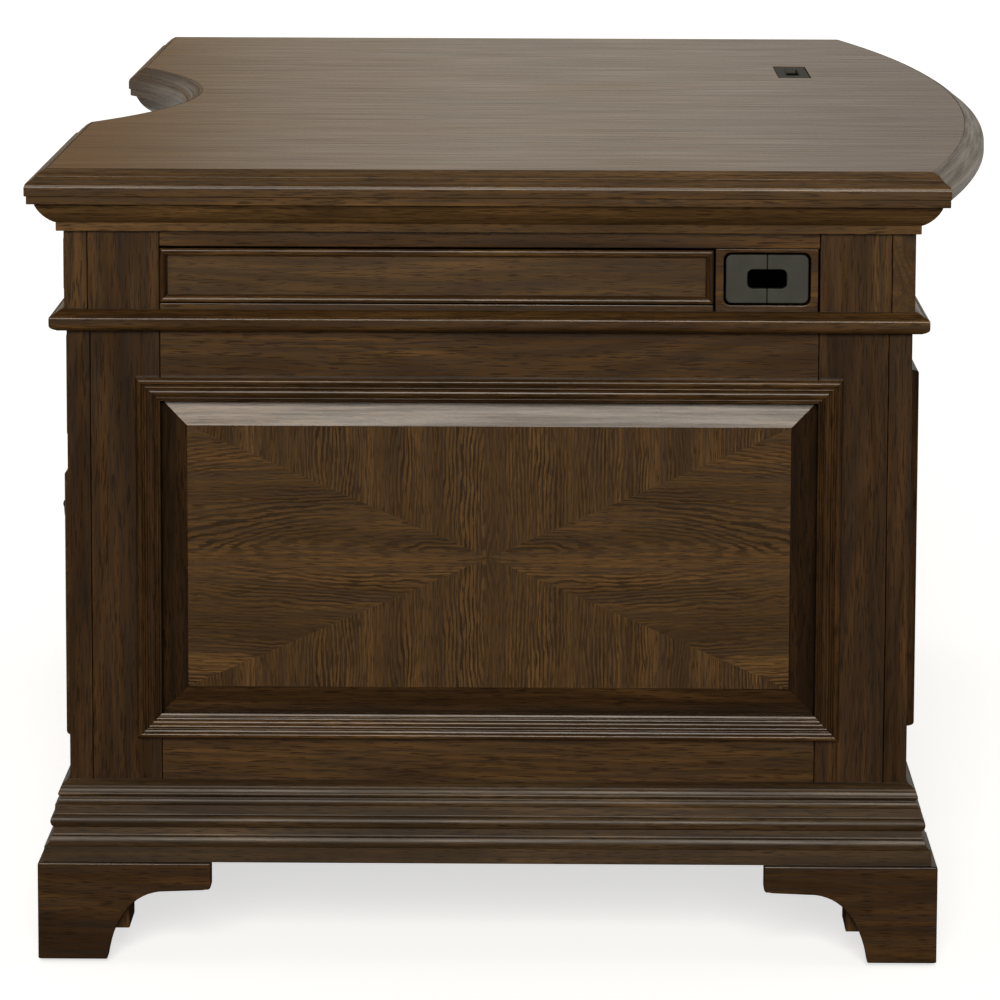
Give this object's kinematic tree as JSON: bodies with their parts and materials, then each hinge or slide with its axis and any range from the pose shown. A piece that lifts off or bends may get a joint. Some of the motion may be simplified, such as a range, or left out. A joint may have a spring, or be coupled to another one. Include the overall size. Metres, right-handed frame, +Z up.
{
  "type": "pedestal desk",
  "caption": "Double-pedestal executive writing desk with a bowed visitor edge, a curved knee recess, raised panels, bracket feet and sliding drawers.",
  "frame": {"origin": "on the floor, at the middle of the desk's bounding box", "axes": "+X along the desk's length towards the sitter's right, -Y towards the sitter, +Y towards the visitor, +Z up"},
  "size_m": [1.829, 0.954, 0.762],
  "materials": {
    "burnished_oak": "dark burnished stain under satin lacquer",
    "oak_veneer": "dark stained veneer under satin lacquer",
    "drawer_interior": "clear matt lacquer",
    "outlet_plastic": "fine matt",
    "aged_bronze": "dark aged bronze"
  },
  "bodies": {
    "carcass": {"belt_molding": "burnished_oak", "cornice_molding": "burnished_oak", "desktop_edge_molding": "burnished_oak", "desktop_panel": "oak_veneer", "left_apron_end": "burnished_oak", "left_base_molding": "burnished_oak", "left_bottom_board": "burnished_oak", "left_cable_outlet": "outlet_plastic", "left_end_frame": "burnished_oak", "left_end_panel": "oak_veneer", "left_end_panel_molding": "burnished_oak", "left_face_frame": "burnished_oak", "left_foot_frame": "burnished_oak", "left_frieze_panel": "oak_veneer", "left_inner_side": "oak_veneer", "left_visitor_frame": "burnished_oak", "left_visitor_panel": "oak_veneer", "left_visitor_panel_molding": "burnished_oak", "modesty_frame": "burnished_oak", "modesty_panel": "oak_veneer", "modesty_panel_molding": "burnished_oak", "right_apron_end": "burnished_oak", "right_base_molding": "burnished_oak", "right_bottom_board": "burnished_oak", "right_cable_outlet": "outlet_plastic", "right_end_frame": "burnished_oak", "right_end_panel": "oak_veneer", "right_end_panel_molding": "burnished_oak", "right_face_frame": "burnished_oak", "right_foot_frame": "burnished_oak", "right_frieze_panel": "oak_veneer", "right_inner_side": "oak_veneer", "right_visitor_frame": "burnished_oak", "right_visitor_panel": "oak_veneer", "right_visitor_panel_molding": "burnished_oak", "sitter_apron": "burnished_oak", "subtop_panel": "burnished_oak", "top_cable_outlet": "outlet_plastic", "visitor_apron": "burnished_oak"},
    "right_frieze_drawer": {"right_frieze_drawer_box": "drawer_interior", "right_frieze_drawer_front": "oak_veneer", "right_frieze_drawer_pull": "aged_bronze"},
    "right_box_drawer": {"right_box_drawer_box": "drawer_interior", "right_box_drawer_front": "oak_veneer", "right_box_drawer_pull": "aged_bronze"},
    "right_file_drawer": {"right_file_drawer_box": "drawer_interior", "right_file_drawer_front": "oak_veneer", "right_file_drawer_pull": "aged_bronze"},
    "left_frieze_drawer": {"left_frieze_drawer_box": "drawer_interior", "left_frieze_drawer_front": "oak_veneer", "left_frieze_drawer_pull": "aged_bronze"},
    "left_box_drawer": {"left_box_drawer_box": "drawer_interior", "left_box_drawer_front": "oak_veneer", "left_box_drawer_pull": "aged_bronze"},
    "left_file_drawer": {"left_file_drawer_box": "drawer_interior", "left_file_drawer_front": "oak_veneer", "left_file_drawer_pull": "aged_bronze"},
    "center_drawer": {"center_drawer_box": "drawer_interior", "center_drawer_front": "oak_veneer"}
  },
  "joints": [
    {"name": "right_frieze_drawer_slide", "type": "slide", "parent": "carcass", "child": "right_frieze_drawer", "axis": [0, -1, 0], "range_m": [0, 0.38]},
    {"name": "right_box_drawer_slide", "type": "slide", "parent": "carcass", "child": "right_box_drawer", "axis": [0, -1, 0], "range_m": [0, 0.45]},
    {"name": "right_file_drawer_slide", "type": "slide", "parent": "carcass", "child": "right_file_drawer", "axis": [0, -1, 0], "range_m": [0, 0.5]},
    {"name": "left_frieze_drawer_slide", "type": "slide", "parent": "carcass", "child": "left_frieze_drawer", "axis": [0, -1, 0], "range_m": [0, 0.38]},
    {"name": "left_box_drawer_slide", "type": "slide", "parent": "carcass", "child": "left_box_drawer", "axis": [0, -1, 0], "range_m": [0, 0.45]},
    {"name": "left_file_drawer_slide", "type": "slide", "parent": "carcass", "child": "left_file_drawer", "axis": [0, -1, 0], "range_m": [0, 0.5]},
    {"name": "center_drawer_slide", "type": "slide", "parent": "carcass", "child": "center_drawer", "axis": [0, -1, 0], "range_m": [0, 0.32]}
  ]
}
